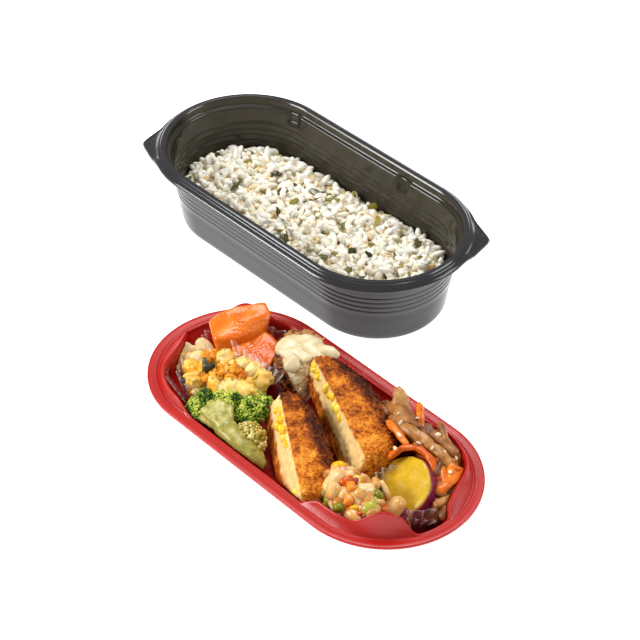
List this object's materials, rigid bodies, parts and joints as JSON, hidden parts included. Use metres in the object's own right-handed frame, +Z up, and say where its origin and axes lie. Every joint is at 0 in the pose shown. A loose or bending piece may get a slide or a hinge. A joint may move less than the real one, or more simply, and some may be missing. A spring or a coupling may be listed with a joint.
{
  "type": "rice and side-dish bento",
  "caption": "Packed lunch: a deep black rice container with barley rice beside a shallow red tray of fried cutlets and vegetables.",
  "frame": {"origin": "middle of the overall box at the level both containers stand on", "axes": "+Z up, +X along the containers' length, +Y from the side-dish tray towards the rice container"},
  "size_m": [0.3571, 0.2318, 0.0547],
  "materials": {
    "black_plastic": "satin moulded sheet",
    "red_plastic": "satin moulded sheet",
    "rice": "moist grains",
    "crumb_crust": "rough crumb",
    "cream_sauce": "wet",
    "carrot": "moist",
    "root": "moist",
    "pumpkin_salad": "creamy",
    "broccoli": "fine buds",
    "kinpira": "glazed",
    "sweet_potato": "moist flesh",
    "bean_salad": "dressed",
    "clear_film": "clear film"
  },
  "bodies": {
    "root": {"rice_box": "black_plastic", "rice": "rice", "side_tray": "red_plastic", "cutlet_front": "crumb_crust", "cutlet_back": "crumb_crust", "fried_fillet": "crumb_crust", "cream_sauce": "cream_sauce", "carrot_1": "carrot", "carrot_2": "carrot", "root_slice_1": "root", "root_slice_2": "root", "root_slice_3": "root", "root_slice_4": "root", "pumpkin_salad": "pumpkin_salad", "broccoli_1": "broccoli", "broccoli_2": "broccoli", "broccoli_3": "broccoli", "kinpira": "kinpira", "sweet_potato_1": "sweet_potato", "sweet_potato_2": "sweet_potato", "bean_salad": "bean_salad", "film_cup_pumpkin": "clear_film", "film_cup_carrot": "clear_film", "film_cup_beans": "clear_film", "film_cup_potato": "clear_film"}
  },
  "joints": []
}
